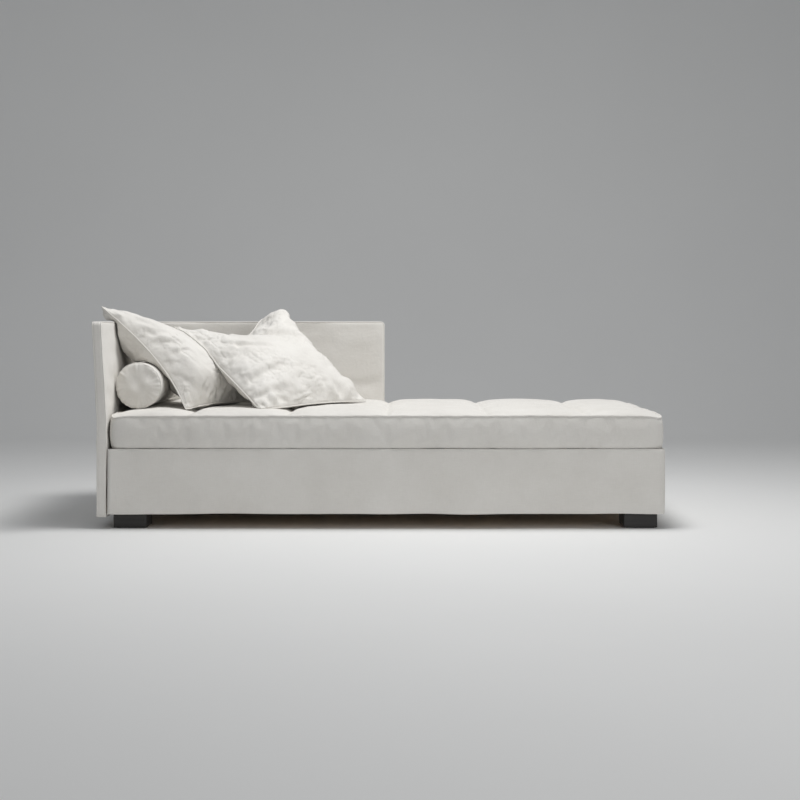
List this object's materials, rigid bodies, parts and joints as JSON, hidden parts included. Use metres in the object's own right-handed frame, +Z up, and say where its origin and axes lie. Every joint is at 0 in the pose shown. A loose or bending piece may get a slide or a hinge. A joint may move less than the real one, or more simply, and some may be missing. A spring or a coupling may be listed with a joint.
{
  "type": "storage sofa bed",
  "caption": "Slip-covered daybed with a headboard and a half back, a quilted mattress on a lift-up slatted frame over a storage box, a bolster and loose cushions.",
  "frame": {"origin": "on the floor, below the middle of the whole piece's bounding box", "axes": "+X from the headboard to the foot end, +Y from the front to the rear, +Z up"},
  "size_m": [2.0617, 0.944, 0.7848],
  "materials": {
    "linen": "natural linen, plain weave",
    "black_wood": "black stain, satin",
    "pine": "planed, unfinished",
    "fibreboard": "hardboard, smooth",
    "beech": "laminated beech, satin",
    "black_steel": "black powder coat",
    "zinc_steel": "zinc plated",
    "polished_steel": "polished",
    "black_plastic": "moulded, matt",
    "black_rubber": "matt",
    "felt": "pressed felt",
    "webbing": "woven webbing"
  },
  "bodies": {
    "base": {"arm_pivots": "zinc_steel", "arm_plate_front_foot": "zinc_steel", "arm_plate_front_head": "zinc_steel", "arm_plate_rear_foot": "zinc_steel", "arm_plate_rear_head": "zinc_steel", "back_board": "pine", "back_cover": "linen", "back_panel_bolts": "zinc_steel", "corner_post_front_foot": "pine", "corner_post_front_head": "pine", "corner_post_rear_foot": "pine", "corner_post_rear_head": "pine", "felt_pads": "felt", "floor_bearers": "pine", "floor_panel_1": "fibreboard", "floor_panel_2": "fibreboard", "floor_panel_3": "fibreboard", "foot_front_foot": "black_wood", "foot_front_head": "black_wood", "foot_hanger_bolts": "zinc_steel", "foot_rail": "pine", "foot_rail_cover": "linen", "foot_rear_foot": "black_wood", "foot_rear_head": "black_wood", "front_ledger": "pine", "front_rail": "pine", "front_rail_cover": "linen", "head_rail": "pine", "headboard_board": "pine", "headboard_bolts": "zinc_steel", "headboard_cover": "linen", "plate_screws": "zinc_steel", "rail_screws": "zinc_steel", "rear_ledger": "pine", "rear_rail": "pine", "rear_rail_cover": "linen", "rest_buffers": "black_rubber"},
    "platform": {"front_side_tube": "black_steel", "rear_side_tube": "black_steel", "head_cross_tube": "black_steel", "middle_cross_tube": "black_steel", "foot_cross_tube": "black_steel", "slats": "beech", "slat_caps": "black_plastic", "platform_brackets": "black_steel", "pull_strap": "webbing", "mattress": "linen"},
    "arm_front_head": {"arm_front_head": "black_steel"},
    "arm_front_foot": {"arm_front_foot": "black_steel"},
    "arm_rear_head": {"arm_rear_head": "black_steel"},
    "arm_rear_foot": {"arm_rear_foot": "black_steel"},
    "gas_spring_cylinder_front": {"gas_spring_cylinder_front": "black_steel"},
    "gas_spring_cylinder_rear": {"gas_spring_cylinder_rear": "black_steel"},
    "gas_spring_rod_front": {"gas_spring_rod_front": "polished_steel"},
    "gas_spring_rod_rear": {"gas_spring_rod_rear": "polished_steel"},
    "bolster": {"bolster": "linen"},
    "left_cushion": {"left_cushion": "linen"},
    "right_cushion": {"right_cushion": "linen"}
  },
  "joints": [
    {"name": "lift", "type": "hinge", "parent": "base", "child": "arm_front_head", "pos_m": [-0.166, -0.428, 0.17986], "axis": [0, 1, 0], "range_deg": [0, 55]},
    {"name": "arm_turn_front_foot", "type": "hinge", "parent": "base", "child": "arm_front_foot", "pos_m": [0.7, -0.428, 0.17986], "axis": [0, 1, 0], "range_deg": [0, 55]},
    {"name": "arm_turn_rear_head", "type": "hinge", "parent": "base", "child": "arm_rear_head", "pos_m": [-0.166, 0.384, 0.17986], "axis": [0, 1, 0], "range_deg": [0, 55]},
    {"name": "arm_turn_rear_foot", "type": "hinge", "parent": "base", "child": "arm_rear_foot", "pos_m": [0.7, 0.384, 0.17986], "axis": [0, 1, 0], "range_deg": [0, 55]},
    {"name": "platform_level", "type": "hinge", "parent": "arm_front_head", "child": "platform", "pos_m": [-0.55992, -0.428, 0.24932], "axis": [0, 1, 0], "range_deg": [-55, 0]},
    {"name": "cylinder_turn_front", "type": "hinge", "parent": "base", "child": "gas_spring_cylinder_front", "pos_m": [-0.30438, -0.413, 0.09], "axis": [0, 1, 0], "range_deg": [0, 27.5]},
    {"name": "rod_turn_front", "type": "hinge", "parent": "arm_front_head", "child": "gas_spring_rod_front", "pos_m": [-0.31031, -0.413, 0.25986], "axis": [0, 1, 0], "range_deg": [-27.5, 0]},
    {"name": "cylinder_turn_rear", "type": "hinge", "parent": "base", "child": "gas_spring_cylinder_rear", "pos_m": [-0.30438, 0.369, 0.09], "axis": [0, 1, 0], "range_deg": [0, 27.5]},
    {"name": "rod_turn_rear", "type": "hinge", "parent": "arm_rear_head", "child": "gas_spring_rod_rear", "pos_m": [-0.31031, 0.369, 0.25986], "axis": [0, 1, 0], "range_deg": [-27.5, 0]},
    {"name": "bolster_slide", "type": "slide", "parent": "platform", "child": "bolster", "axis": [0, -1, 0], "range_m": [0, 0.35]},
    {"name": "left_cushion_lift", "type": "slide", "parent": "platform", "child": "left_cushion", "axis": [0, 0, 1], "range_m": [0, 0.4]},
    {"name": "right_cushion_lift", "type": "slide", "parent": "left_cushion", "child": "right_cushion", "axis": [0, 0, 1], "range_m": [0, 0.4]}
  ],
  "couplings": [
    {"joint": "arm_turn_front_foot", "follows": "lift", "ratio": 1},
    {"joint": "arm_turn_rear_head", "follows": "lift", "ratio": 1},
    {"joint": "arm_turn_rear_foot", "follows": "lift", "ratio": 1},
    {"joint": "platform_level", "follows": "lift", "ratio": -1},
    {"joint": "cylinder_turn_front", "follows": "lift", "ratio": 0.5},
    {"joint": "rod_turn_front", "follows": "lift", "ratio": -0.5},
    {"joint": "cylinder_turn_rear", "follows": "lift", "ratio": 0.5},
    {"joint": "rod_turn_rear", "follows": "lift", "ratio": -0.5}
  ]
}
